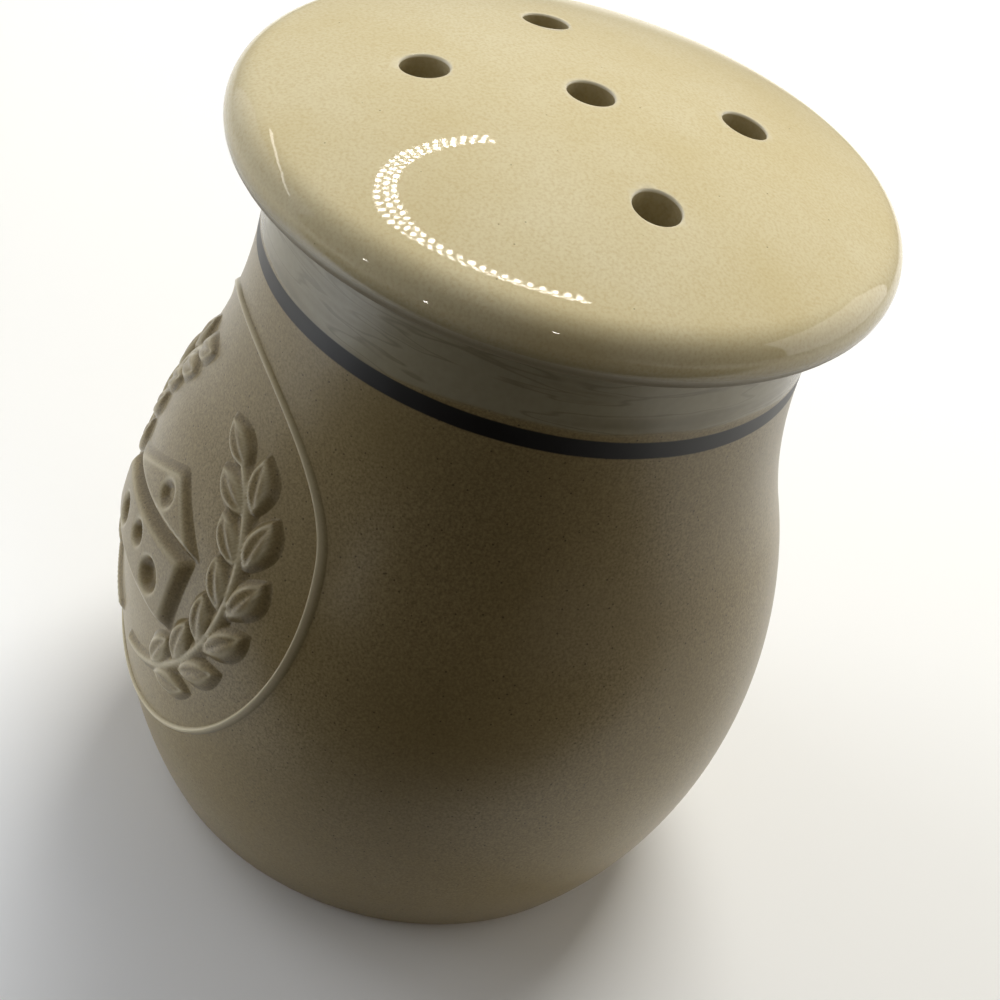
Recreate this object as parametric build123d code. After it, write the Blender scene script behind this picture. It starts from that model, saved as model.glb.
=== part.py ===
"""Stoneware shaker for grated hard cheese: a pot-bellied jar with a pierced, lift-off lid.

Millimetres, +Z up. The origin is the middle of the base, and the medallion faces -Y.
"""
import os
from math import cos, radians, sin, sqrt

from build123d import *

# Jar: a side of tangent arcs from the foot over the belly and the neck to the lip
FOOT_RADIUS = 36.0
BELLY_RADIUS = 45.2
BELLY_HEIGHT = 34.0
NECK_RADIUS = 35.3
NECK_HEIGHT = 85.0
LIP_FLARE = 1.0
SEAT_HEIGHT = 96.5
WALL = 4.8
FLOOR = 6.0
FOOT_ROUND = 2.0
LIP_ROUND = 1.0
FLOOR_ROUND = 6.0

# Lid: a low dome with a full round rim, and a skirt that plugs the jar's mouth
RIM_RADIUS = 42.0
RIM_UNDER_ROUND = 3.5
RIM_OVER_ROUND = 4.5
DOME_RISE = 10.0
LID_THICKNESS = 6.0
SKIRT_DEPTH = 10.5
SKIRT_WALL = 3.5
SKIRT_CLEARANCE = 1.0
SKIRT_ROUND = 0.8
CEILING_ROUND = 2.5

# Holes in the lid, punched straight down: each one's distance from the axis and its angle in degrees
HOLE_DIAMETER = 5.9
HOLE_ROUND = 0.4
HOLE_PLACES = [(0.0, 0.0), (22.0, 1.0), (20.3, 82.5), (21.7, 174.0), (19.8, 250.5)]

# Gasket: a ribbed ring in a groove round the skirt
GASKET_HEIGHT = 5.0
GASKET_DROP = 2.8
GROOVE_DEPTH = 1.5
GASKET_RIBS = 3
RIB_BULGE = 0.7
GROOVE_FIT = 0.05
MOUTH_FIT = 0.08

# Medallion: sprigs of pressed clay on the jar's front, each bedded on the wall
MEDALLION_CENTRE = 47.0
MEDALLION_WIDTH = 59.0
MEDALLION_HEIGHT = 59.0
BORDER_WIDTH = 1.0
BORDER_RELIEF = 0.5
SPRIG_BED = 0.05

# Wheat ears: kernels in pairs on a curved stem inside the border
EAR_INSET = 9.0
EAR_START = -46.0
EAR_END = 46.0
EAR_PAIRS = 6
TIP_LEAD = 16.0
STEM_START = -80.0
STEM_WIDTH = 1.4
KERNEL_LENGTH = 6.4
KERNEL_WIDTH = 3.0
KERNEL_SPLAY = 24.0
KERNEL_OFFSET = 2.1
EAR_RELIEF = 1.2

# Cheese wedge: a side face and a top face with a cut between them, and round eyes
WEDGE_LENGTH = 26.0
WEDGE_BASE = 9.0
WEDGE_TIP_SIDE = 7.5
WEDGE_HEEL_SIDE = 10.5
WEDGE_CUT = 1.2
WEDGE_PEAK_SHIFT = 4.0
WEDGE_PEAK_RISE = 6.3
WEDGE_ROUND = 0.6
SIDE_RELIEF = 1.5
TOP_RELIEF = 1.0
SIDE_EYES = [(-5.8, -5.3, 1.7), (1.5, -3.2, 1.3), (7.6, -5.0, 2.0)]
TOP_EYES = [(3.4, 4.9, 1.4)]

# Values that follow from those above
mouth_radius = NECK_RADIUS - WALL
lip_radius = NECK_RADIUS + LIP_FLARE
rim_height = SEAT_HEIGHT + RIM_UNDER_ROUND
top_height = rim_height + DOME_RISE
rim_centre = RIM_RADIUS - RIM_OVER_ROUND
crown_radius = (rim_centre**2 + DOME_RISE**2 - RIM_OVER_ROUND**2) / (2 * (DOME_RISE - RIM_OVER_ROUND))
crown_centre = top_height - crown_radius
skirt_radius = mouth_radius - SKIRT_CLEARANCE
skirt_inside = skirt_radius - SKIRT_WALL
skirt_foot = SEAT_HEIGHT - SKIRT_DEPTH
groove_radius = skirt_radius - GROOVE_DEPTH
groove_top = SEAT_HEIGHT - GASKET_DROP
groove_foot = groove_top - GASKET_HEIGHT
hole_radius = HOLE_DIAMETER / 2


def side_points(shift):
    """Foot, belly, neck and lip points of the jar's side, moved outwards by shift."""
    foot = Vector(FOOT_RADIUS + shift, 0)
    belly = Vector(BELLY_RADIUS + shift, BELLY_HEIGHT)
    neck = Vector(NECK_RADIUS + shift, NECK_HEIGHT)
    lip = Vector(lip_radius + shift, SEAT_HEIGHT)
    return foot, belly, neck, lip


def side_curve(shift):
    """The jar's side from the foot to the lip, moved outwards by shift."""
    foot, _, neck, lip = side_points(shift)
    return body_curve(shift, foot) + [TangentArc(neck, lip, tangent=(0, 1))]


def body_curve(shift, foot):
    """The side below the neck, down to the given foot point on its lowest arc."""
    _, belly, neck, _ = side_points(shift)
    waist = (belly + neck) / 2
    return [
        TangentArc(belly, foot, tangent=(0, -1)),
        TangentArc(belly, waist, tangent=(0, 1)),
        TangentArc(neck, waist, tangent=(0, -1)),
    ]


def side_radius_at(height):
    """Outer radius of the jar at a height below the belly."""
    swell = BELLY_RADIUS - FOOT_RADIUS
    arc = (swell**2 + BELLY_HEIGHT**2) / (2 * swell)
    return BELLY_RADIUS - arc + sqrt(arc**2 - (BELLY_HEIGHT - height) ** 2)


def rounded(face, corner, radius):
    """The section with the corner nearest to a point rounded."""
    return fillet(face.vertices().sort_by_distance(corner)[0], radius)


def turned(section):
    """The solid that a section, drawn as radius and height, makes round the Z axis."""
    return revolve(Plane.XZ * section, Axis.Z)


def make_jar():
    """Jar with a flat base, a hollow belly and a straight mouth for the lid's skirt."""
    foot, _, _, lip = side_points(0)
    inner_neck = Vector(mouth_radius, NECK_HEIGHT)
    inner_foot = Vector(side_radius_at(FLOOR) - WALL, FLOOR)
    mouth_edge = Vector(mouth_radius, SEAT_HEIGHT)
    centre, floor_centre = Vector(0, 0), Vector(0, FLOOR)
    section = make_face(
        side_curve(0)
        + [Line(lip, mouth_edge), Line(mouth_edge, inner_neck)]
        + body_curve(-WALL, inner_foot)
        + [Line(inner_foot, floor_centre), Line(floor_centre, centre), Line(centre, foot)]
    )
    section = rounded(section, foot, FOOT_ROUND)
    section = rounded(section, lip, LIP_ROUND)
    section = rounded(section, mouth_edge, LIP_ROUND)
    section = rounded(section, inner_foot, FLOOR_ROUND)
    return turned(section)


def lid_section():
    """Half section of the lid: dome, rim, flat seat, grooved skirt and ceiling."""
    apex = Vector(0, top_height)
    crown = Vector(0, crown_centre)
    to_rim = (Vector(rim_centre, rim_height) - crown).normalized()
    shoulder = crown + to_rim * crown_radius
    rim = Vector(RIM_RADIUS, rim_height)
    under = Vector(RIM_RADIUS - RIM_UNDER_ROUND, SEAT_HEIGHT)
    skirt_top = Vector(skirt_radius, SEAT_HEIGHT)
    skirt_end = Vector(skirt_radius, skirt_foot)
    inner_end = Vector(skirt_inside, skirt_foot)
    ceiling_radius = crown_radius - LID_THICKNESS
    ceiling = Vector(skirt_inside, crown_centre + sqrt(ceiling_radius**2 - skirt_inside**2))
    ceiling_apex = Vector(0, top_height - LID_THICKNESS)
    groove = [
        skirt_top,
        (skirt_radius, groove_top),
        (groove_radius, groove_top),
        (groove_radius, groove_foot),
        (skirt_radius, groove_foot),
        skirt_end,
        inner_end,
        ceiling,
    ]
    section = make_face([
        TangentArc(apex, shoulder, tangent=(1, 0)),
        TangentArc(rim, shoulder, tangent=(0, 1)),
        TangentArc(rim, under, tangent=(0, -1)),
        Line(under, skirt_top),
        *Polyline(*groove).edges(),
        TangentArc(ceiling_apex, ceiling, tangent=(1, 0)),
        Line(ceiling_apex, apex),
    ])
    section = rounded(section, skirt_end, SKIRT_ROUND)
    section = rounded(section, inner_end, SKIRT_ROUND)
    return rounded(section, ceiling, CEILING_ROUND)


def make_lid():
    """Lid with its pouring holes, their upper edges softly rounded."""
    blank = turned(lid_section())
    upright = (Align.CENTER, Align.CENTER, Align.MIN)
    punch = Pos(0, 0, SEAT_HEIGHT) * Cylinder(hole_radius, 2 * (top_height - SEAT_HEIGHT), align=upright)
    punches = [Rot(0, 0, angle) * Pos(distance, 0) * punch for distance, angle in HOLE_PLACES]
    lid = blank - punches
    crown = Vector(0, 0, crown_centre)
    upper_edges = [
        edge
        for edge in new_edges(blank, *punches, combined=lid)
        if abs((edge @ 0.5 - crown).length - crown_radius) < HOLE_ROUND
    ]
    return fillet(upper_edges, HOLE_ROUND)


def make_gasket():
    """Sealing ring that sits in the skirt's groove, with round ribs against the mouth."""
    inner = groove_radius + GROOVE_FIT
    outer = mouth_radius - MOUTH_FIT
    root = outer - RIB_BULGE
    foot = groove_foot + GROOVE_FIT
    top = groove_top - GROOVE_FIT
    pitch = (top - foot) / GASKET_RIBS
    ribs = []
    for rib in range(GASKET_RIBS):
        low = foot + pitch * rib
        ribs.append(ThreePointArc((root, low), (outer, low + pitch / 2), (root, low + pitch)))
    back = Polyline((root, foot), (inner, foot), (inner, top), (root, top))
    return turned(make_face(ribs + list(back.edges())))


def on_wall(outline, relief):
    """A sprig: an outline on the medallion, standing proud of the jar's wall by relief."""
    bed_foot, _, _, bed_lip = side_points(SPRIG_BED)
    face_foot, _, _, face_lip = side_points(relief)
    skin = turned(
        make_face(
            side_curve(SPRIG_BED)
            + side_curve(relief)
            + [Line(bed_foot, face_foot), Line(bed_lip, face_lip)]
        )
    )
    reach = BELLY_RADIUS + 2 * relief
    front = Plane.XZ * Pos(0, MEDALLION_CENTRE)
    return extrude(front * outline, reach) & skin


def make_border():
    """Thin raised line round the medallion."""
    outer = Ellipse(MEDALLION_WIDTH / 2, MEDALLION_HEIGHT / 2)
    inner = Ellipse(MEDALLION_WIDTH / 2 - BORDER_WIDTH, MEDALLION_HEIGHT / 2 - BORDER_WIDTH)
    return on_wall(outer - inner, BORDER_RELIEF)


def ear_outline():
    """Outline of the right-hand wheat ear: a stem, kernels in pairs and a tip kernel."""
    ring_x = MEDALLION_WIDTH / 2 - EAR_INSET
    ring_z = MEDALLION_HEIGHT / 2 - EAR_INSET
    kernel = Ellipse(KERNEL_LENGTH / 2, KERNEL_WIDTH / 2)

    def placed(angle, offset, splay):
        """A kernel at an angle round the ring, set off it and turned away from it."""
        out = Vector(cos(radians(angle)), sin(radians(angle)))
        spot = Vector(ring_x * out.X, ring_z * out.Y) + out * offset
        return Pos(spot.X, spot.Y) * Rot(0, 0, angle + 90 - splay) * kernel

    tip_angle = EAR_END + TIP_LEAD
    stem = EllipticalCenterArc((0, 0), ring_x, ring_z, STEM_START, arc_size=tip_angle - STEM_START)
    outline = trace(stem, STEM_WIDTH) + placed(tip_angle, 0, 0)
    for pair in range(EAR_PAIRS):
        angle = EAR_START + (EAR_END - EAR_START) * pair / (EAR_PAIRS - 1)
        outline += placed(angle, KERNEL_OFFSET, KERNEL_SPLAY)
        outline += placed(angle, -KERNEL_OFFSET, -KERNEL_SPLAY)
    return outline


def wedge_corners():
    """Tip and heel of the wedge's base line, and the heights of its side face there."""
    tip, heel = -WEDGE_LENGTH / 2, WEDGE_LENGTH / 2
    return tip, heel, -WEDGE_BASE + WEDGE_TIP_SIDE, -WEDGE_BASE + WEDGE_HEEL_SIDE


def with_eyes(corners, eyes):
    """A face of the wedge with rounded corners and round eyes cut through it."""
    face = Polygon(*corners, align=None)
    face = fillet(face.vertices(), WEDGE_ROUND)
    for across, up, radius in eyes:
        face -= Pos(across, up) * Circle(radius)
    return face


def make_wedge_side():
    """Front face of the cheese wedge."""
    tip, heel, tip_top, heel_top = wedge_corners()
    corners = [(tip, -WEDGE_BASE), (heel, -WEDGE_BASE), (heel, heel_top), (tip, tip_top)]
    return on_wall(with_eyes(corners, SIDE_EYES), SIDE_RELIEF)


def make_wedge_top():
    """Top face of the cheese wedge, above the cut."""
    tip, heel, tip_top, heel_top = wedge_corners()
    peak = (WEDGE_PEAK_SHIFT, heel_top + WEDGE_CUT + WEDGE_PEAK_RISE)
    corners = [(tip, tip_top + WEDGE_CUT), (heel, heel_top + WEDGE_CUT), peak]
    return on_wall(with_eyes(corners, TOP_EYES), TOP_RELIEF)


def main():
    """Make each piece and write it to its own file."""
    right_ear = ear_outline()
    pieces = {
        "jar": make_jar(),
        "lid": make_lid(),
        "lid_gasket": make_gasket(),
        "medallion_border": make_border(),
        "wedge_side": make_wedge_side(),
        "wedge_top": make_wedge_top(),
        "right_wheat_ear": on_wall(right_ear, EAR_RELIEF),
        "left_wheat_ear": on_wall(mirror(right_ear, Plane.YZ), EAR_RELIEF),
    }
    os.makedirs("parts", exist_ok=True)
    for name, piece in pieces.items():
        export_step(piece, f"parts/{name}.step")


main()
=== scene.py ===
"""Looks of a stoneware shaker for grated cheese: its jar, medallion, pierced lid and sealing ring.

The frame is in metres, +Z up, with its origin at the middle of the base and the medallion facing -Y.
Sizes here are in millimetres, and each mesh is scaled to metres once, when its piece is made.
"""

import logging
import math
from abc import ABC, abstractmethod
from dataclasses import dataclass, field
from enum import Enum
from typing import NamedTuple, Optional

import bmesh
import bpy
from bmesh.types import BMesh, BMVert
from mathutils import Matrix, Vector


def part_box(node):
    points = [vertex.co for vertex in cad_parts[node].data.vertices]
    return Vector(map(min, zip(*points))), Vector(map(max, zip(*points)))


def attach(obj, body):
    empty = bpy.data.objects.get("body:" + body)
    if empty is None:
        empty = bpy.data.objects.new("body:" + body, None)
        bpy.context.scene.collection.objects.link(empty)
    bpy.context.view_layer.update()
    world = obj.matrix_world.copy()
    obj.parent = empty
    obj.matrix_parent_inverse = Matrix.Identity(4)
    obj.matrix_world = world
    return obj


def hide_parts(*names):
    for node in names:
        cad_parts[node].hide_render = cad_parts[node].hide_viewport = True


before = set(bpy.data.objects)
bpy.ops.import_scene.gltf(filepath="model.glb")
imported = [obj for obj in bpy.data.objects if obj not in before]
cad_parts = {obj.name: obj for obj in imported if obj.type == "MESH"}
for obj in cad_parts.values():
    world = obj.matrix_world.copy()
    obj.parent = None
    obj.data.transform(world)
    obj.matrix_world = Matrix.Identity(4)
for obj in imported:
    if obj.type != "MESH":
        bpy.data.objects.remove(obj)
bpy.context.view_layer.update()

LOG = logging.getLogger("cheese_shaker")
MM = 0.001
WELD = 0.002
SHARP_ANGLE = 38.0
# Vertex attribute of thin glaze, partly a painted highlight on crests and hole rims.
THIN_GLAZE_AND_HIGHLIGHT = "thin_glaze_and_highlight"
# Vertex attribute of pooled glaze beside raised forms, with painted shade there, in the lid's holes and
# under its rim.
POOLED_GLAZE_AND_SHADE = "pooled_glaze_and_shade"
COLOURS = {"data_type": "RGBA"}
SMOOTH = {"interpolation_type": "SMOOTHSTEP"}

# Sockets of a mix node: its share, what lies under and over in a mix of colours or of numbers, and the
# mixed colour.
SHARE = 0
UNDER = 6
OVER = 7
NUMBER_UNDER = 2
NUMBER_OVER = 3
MIXED = 2

Material = bpy.types.Material
Tree = bpy.types.NodeTree
Socket = bpy.types.NodeSocket


class Body(Enum):
    """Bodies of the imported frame."""

    JAR = "jar"
    GASKET = "gasket"
    LID = "lid"


class Slot(Enum):
    """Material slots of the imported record."""

    TAN = "tan_stoneware"
    RELIEF = "relief_stoneware"
    CREAM = "cream_glaze"
    SILICONE = "silicone"


class Spot(NamedTuple):
    """A point of a half section."""

    radius: float
    height: float


class Eye(NamedTuple):
    """A round hollow in a cheese, placed from the medallion's middle."""

    across: float
    up: float
    radius: float


def linear(colour: str) -> tuple[float, float, float, float]:
    """Turn an sRGB hex value into linear red, green, blue and alpha.

    Args:
        colour: Six hex digits with a leading hash sign.

    Returns:
        The linear colour with an alpha of one.
    """
    shares = [int(colour[start:start + 2], 16) / 255 for start in (1, 3, 5)]
    red, green, blue = [
        share / 12.92 if share <= 0.04045 else ((share + 0.055) / 1.055) ** 2.4 for share in shares
    ]
    return red, green, blue, 1.0


def per_size(size: float) -> float:
    """Texture scale that gives features of a size in millimetres."""
    return 1 / (size * MM)


def smooth_step(low: float, high: float, value: float) -> float:
    """Ease from zero at low to one at high."""
    share = min(1.0, max(0.0, (value - low) / (high - low)))
    return share * share * (3 - 2 * share)


def hump(middle: float, width: float, value: float) -> float:
    """Bell curve that is one at the middle and falls off over a width on each side."""
    return math.exp(-(((value - middle) / width) ** 2))


def add_node(
    tree: Tree,
    kind: str,
    settings: Optional[dict] = None,
    inputs: Optional[dict] = None,
) -> bpy.types.Node:
    """Add a node with its settings, and set or link its inputs.

    Args:
        tree: Node tree that gets the node.
        kind: Blender's name of the node's type.
        settings: Values of the node's own properties.
        inputs: Values, or sockets to link, by the input's name or number.

    Returns:
        The new node.
    """
    node = tree.nodes.new(kind)
    for name, value in (settings or {}).items():
        setattr(node, name, value)
    for key, value in (inputs or {}).items():
        if isinstance(value, Socket):
            tree.links.new(value, node.inputs[key])
        else:
            node.inputs[key].default_value = value
    return node


def start_material(name: str) -> tuple[Material, Tree]:
    """Make an empty node material.

    Args:
        name: Name of the finish.

    Returns:
        The material and its node tree.
    """
    material = bpy.data.materials.new(name)
    material.use_nodes = True
    material.node_tree.nodes.clear()
    return material, material.node_tree


def speck_mask(tree: Tree, spot: Socket, spacing: float, share: float, radius: float) -> Socket:
    """Mask of round specks that lie in some of the cells of a scattered pattern.

    Args:
        tree: Node tree that gets the nodes.
        spot: Object coordinates.
        spacing: Distance between neighbouring cells in millimetres.
        share: Share of the cells that hold a speck.
        radius: Radius of a speck in millimetres.

    Returns:
        A socket that is one in a speck and zero elsewhere.
    """
    cells = add_node(tree, "ShaderNodeTexVoronoi", {}, {"Vector": spot, "Scale": per_size(spacing)})
    chance = add_node(tree, "ShaderNodeSeparateColor", {}, {0: cells.outputs["Color"]})
    chosen = add_node(tree, "ShaderNodeMath", {"operation": "LESS_THAN"}, {0: chance.outputs[0], 1: share})
    round_spot = add_node(
        tree, "ShaderNodeMapRange", SMOOTH,
        {"Value": cells.outputs["Distance"], "From Min": radius / 2 / spacing, "From Max": radius / spacing,
         "To Min": 1.0, "To Max": 0.0},
    )
    both = {0: chosen.outputs[0], 1: round_spot.outputs[0]}
    return add_node(tree, "ShaderNodeMath", {"operation": "MULTIPLY"}, both).outputs[0]


def bumped(tree: Tree, spot: Socket, size: float, depth: float, normal: Optional[Socket] = None) -> Socket:
    """Uneven surface.

    Args:
        tree: Node tree that gets the nodes.
        spot: Object coordinates.
        size: Size of its swells in millimetres.
        depth: Depth of its swells in millimetres.
        normal: Normal of the surface that it is laid on, where that is uneven too.

    Returns:
        The normal's socket.
    """
    swells = add_node(
        tree, "ShaderNodeTexNoise", {}, {"Vector": spot, "Scale": per_size(size), "Detail": 2.0}
    )
    inputs = {"Strength": 1.0, "Distance": depth * MM, "Height": swells.outputs[0]}
    if normal:
        inputs["Normal"] = normal
    return add_node(tree, "ShaderNodeBump", {}, inputs).outputs[0]


def glaze_depth_and_painted_light(tree: Tree, colour: Socket, pooled_and_shade: str, thin_and_highlight: str) -> Socket:
    """Tint a glaze where the mesh's attributes mark thin glaze with a painted highlight, and pooled glaze
    with painted shade.

    Args:
        tree: Node tree that gets the nodes.
        colour: Colour of the glaze at its usual depth.
        pooled_and_shade: Colour of pooled glaze and of painted shade.
        thin_and_highlight: Colour of thin glaze and of painted highlight.

    Returns:
        The tinted colour's socket.
    """
    # Pooled glaze and painted shade darken the colour; thin glaze and painted highlight lighten it.
    for attribute, tint in ((POOLED_GLAZE_AND_SHADE, pooled_and_shade), (THIN_GLAZE_AND_HIGHLIGHT, thin_and_highlight)):
        share = add_node(tree, "ShaderNodeAttribute", {"attribute_name": attribute})
        tinted = {SHARE: share.outputs["Fac"], UNDER: colour, OVER: linear(tint)}
        colour = add_node(tree, "ShaderNodeMix", COLOURS, tinted).outputs[MIXED]
    return colour


@dataclass(frozen=True)
class StonewareGlaze:
    """Satin glaze over buff stoneware, with a brushed dark band and a paler dip on the neck.

    Fired iron in the clay bleeds through the glaze as fine dark and pale grains. On raised edges the glaze
    runs thin and pale, with a painted highlight along the crests, and beside them it pools dark, with
    painted shade where the forms meet the wall. The band is iron oxide, and nearly black. Dark wavy
    streaks on the neck are painted reflections, and the dip's lower edge wanders just above the band.
    """

    name: str
    pale_grain: str = "#a49268"
    dark_grain: str = "#7a6a47"
    mottle: str = "#89774b"
    fleck: str = "#5a4b30"
    # Pale of thin glaze on crests, partly a painted highlight.
    thin_and_highlight: str = "#d3c7a4"
    # Dark of pooled glaze beside raised forms, partly painted shade in the crease at the wall.
    pooled_and_shade: str = "#5b4d31"
    neck_pale: str = "#a49c82"
    neck_dark: str = "#958d74"
    # Dark of the wavy streaks painted on the neck as its reflections.
    neck_reflection_streak: str = "#665c43"
    band: str = "#0b0706"
    band_low: float = 83.0
    band_high: float = 85.4
    band_drift: float = 0.3
    band_wave: float = 12.0
    band_edge: float = 0.12
    dip_low: float = 86.2
    dip_drift: float = 7.0
    dip_wave: float = 26.0
    dip_edge: float = 0.7
    # Size, stretch, bend and share of the painted reflection streaks on the neck.
    streak_size: float = 20.0
    streak_squeeze: float = 7.0
    streak_bend: float = 0.4
    streak_share: float = 0.4
    line_share: float = 0.4
    line_reach: float = 0.03
    satin: float = 0.3
    gloss: float = 0.2
    band_shine: float = 0.4
    ior: float = 1.5
    grain_size: float = 0.34
    neck_grain_size: float = 1.02
    mottle_size: float = 24.0
    mottle_share: float = 0.45
    fleck_spacing: float = 0.9
    fleck_share: float = 0.3
    fleck_radius: float = 0.16
    peel_size: float = 0.9
    peel_depth: float = 0.006
    wave_size: float = 10.0
    wave_depth: float = 0.12

    def material(self) -> Material:
        """Build the node material.

        Returns:
            The material.
        """
        material, tree = start_material(self.name)
        spot = add_node(tree, "ShaderNodeTexCoord").outputs["Object"]
        height = add_node(tree, "ShaderNodeSeparateXYZ", {}, {0: spot}).outputs["Z"]
        dip = self._dip(tree, spot, height)
        band = self._band(tree, spot, height)
        dipped = add_node(
            tree, "ShaderNodeMix", COLOURS,
            {SHARE: dip, UNDER: self._tan(tree, spot), OVER: self._neck(tree, spot)},
        )
        banded = add_node(
            tree, "ShaderNodeMix", COLOURS,
            {SHARE: band, UNDER: dipped.outputs[MIXED], OVER: linear(self.band)},
        )
        dip_shine = add_node(
            tree, "ShaderNodeMix", {}, {SHARE: dip, NUMBER_UNDER: self.satin, NUMBER_OVER: self.gloss}
        )
        shine = add_node(
            tree, "ShaderNodeMix", {},
            {SHARE: band, NUMBER_UNDER: dip_shine.outputs[0], NUMBER_OVER: self.band_shine},
        )
        wavy = bumped(tree, spot, self.wave_size, self.wave_depth)
        peel = bumped(tree, spot, self.peel_size, self.peel_depth, wavy)
        surface = add_node(
            tree, "ShaderNodeBsdfPrincipled", {},
            {"Base Color": banded.outputs[MIXED], "Roughness": shine.outputs[0], "IOR": self.ior,
             "Normal": peel},
        )
        add_node(tree, "ShaderNodeOutputMaterial", {}, {0: surface.outputs[0]})
        return material

    def _tan(self, tree: Tree, spot: Socket) -> Socket:
        """Colour of the body: grain, mottling, flecks, and marks of thin and pooled glaze with painted
        highlight and shade.

        Args:
            tree: Node tree that gets the nodes.
            spot: Object coordinates.

        Returns:
            The colour's socket.
        """
        grain = add_node(
            tree, "ShaderNodeTexNoise", {},
            {"Vector": spot, "Scale": per_size(self.grain_size), "Detail": 3.0, "Roughness": 0.6},
        )
        contrast = add_node(
            tree, "ShaderNodeMapRange", {}, {"Value": grain.outputs[0], "From Min": 0.33, "From Max": 0.67}
        )
        grained = add_node(
            tree, "ShaderNodeMix", COLOURS,
            {SHARE: contrast.outputs[0], UNDER: linear(self.dark_grain), OVER: linear(self.pale_grain)},
        )
        clouds = add_node(
            tree, "ShaderNodeTexNoise", {},
            {"Vector": spot, "Scale": per_size(self.mottle_size), "Detail": 2.0},
        )
        cloud_share = add_node(
            tree, "ShaderNodeMapRange", {},
            {"Value": clouds.outputs[0], "From Min": 0.35, "From Max": 0.65, "To Max": self.mottle_share},
        )
        mottled = add_node(
            tree, "ShaderNodeMix", COLOURS,
            {SHARE: cloud_share.outputs[0], UNDER: grained.outputs[MIXED], OVER: linear(self.mottle)},
        )
        flecks = speck_mask(tree, spot, self.fleck_spacing, self.fleck_share, self.fleck_radius)
        flecked = add_node(
            tree, "ShaderNodeMix", COLOURS,
            {SHARE: flecks, UNDER: mottled.outputs[MIXED], OVER: linear(self.fleck)},
        )
        # Tint by the marks of thin glaze with painted highlight, and of pooled glaze with painted shade.
        return glaze_depth_and_painted_light(tree, flecked.outputs[MIXED], self.pooled_and_shade, self.thin_and_highlight)

    def _neck(self, tree: Tree, spot: Socket) -> Socket:
        """Colour of the dip on the neck: a coarser grain under dark streaks of painted reflection.

        Args:
            tree: Node tree that gets the nodes.
            spot: Object coordinates.

        Returns:
            The colour's socket.
        """
        grain = add_node(
            tree, "ShaderNodeTexNoise", {},
            {"Vector": spot, "Scale": per_size(self.neck_grain_size), "Detail": 4.0},
        )
        grained = add_node(
            tree, "ShaderNodeMix", COLOURS,
            {SHARE: grain.outputs[0], UNDER: linear(self.neck_dark), OVER: linear(self.neck_pale)},
        )
        # Painted reflection streaks over the grain.
        streaked = add_node(
            tree, "ShaderNodeMix", COLOURS,
            {SHARE: self._painted_reflection_streaks(tree, spot), UNDER: grained.outputs[MIXED], OVER: linear(self.neck_reflection_streak)},
        )
        return streaked.outputs[MIXED]

    def _painted_reflection_streaks(self, tree: Tree, spot: Socket) -> Socket:
        """Mask of the patches and thin wavy lines painted on the neck as its wavy reflections.

        Args:
            tree: Node tree that gets the nodes.
            spot: Object coordinates.

        Returns:
            A socket that rises to its greatest value in the streaks.
        """
        level = add_node(
            tree, "ShaderNodeMapping", {}, {"Vector": spot, "Scale": (1.0, 1.0, self.streak_squeeze)}
        )
        streaks = add_node(
            tree, "ShaderNodeTexNoise", {},
            {"Vector": level.outputs[0], "Scale": per_size(self.streak_size), "Detail": 2.0,
             "Distortion": self.streak_bend},
        )
        patches = add_node(
            tree, "ShaderNodeMapRange", SMOOTH,
            {"Value": streaks.outputs[0], "From Min": 0.5, "From Max": 0.68, "To Max": self.streak_share},
        )
        off = add_node(tree, "ShaderNodeMath", {"operation": "SUBTRACT"}, {0: streaks.outputs[0], 1: 0.5})
        away = add_node(tree, "ShaderNodeMath", {"operation": "ABSOLUTE"}, {0: off.outputs[0]})
        lines = add_node(
            tree, "ShaderNodeMapRange", SMOOTH,
            {"Value": away.outputs[0], "From Max": self.line_reach, "To Min": self.line_share,
             "To Max": 0.0},
        )
        both = {0: patches.outputs[0], 1: lines.outputs[0]}
        return add_node(tree, "ShaderNodeMath", {"operation": "MAXIMUM"}, both).outputs[0]

    def _drifting(self, tree: Tree, spot: Socket, height: Socket, wave: float, drift: float,
                  detail: float) -> Socket:
        """Height above the base, made uneven so that an edge drawn by it wanders.

        Args:
            tree: Node tree that gets the nodes.
            spot: Object coordinates.
            height: True height above the base.
            wave: Size of the swings in millimetres.
            drift: Greatest swing in millimetres.
            detail: Number of finer swings on each swing.

        Returns:
            The uneven height's socket, half the drift too high on average.
        """
        swing = add_node(
            tree, "ShaderNodeTexNoise", {}, {"Vector": spot, "Scale": per_size(wave), "Detail": detail}
        )
        raised = {0: swing.outputs[0], 1: drift * MM, 2: height}
        return add_node(tree, "ShaderNodeMath", {"operation": "MULTIPLY_ADD"}, raised).outputs[0]

    def _dip(self, tree: Tree, spot: Socket, height: Socket) -> Socket:
        """Mask of the paler glaze that the neck was dipped in, with an uneven lower edge.

        Args:
            tree: Node tree that gets the nodes.
            spot: Object coordinates.
            height: Height above the base.

        Returns:
            A socket that is one on the neck and zero below it.
        """
        level = self._drifting(tree, spot, height, self.dip_wave, self.dip_drift, detail=1.0)
        low = self.dip_low + self.dip_drift / 2
        edge = {"Value": level, "From Min": low * MM, "From Max": (low + self.dip_edge) * MM}
        return add_node(tree, "ShaderNodeMapRange", SMOOTH, edge).outputs[0]

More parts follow.
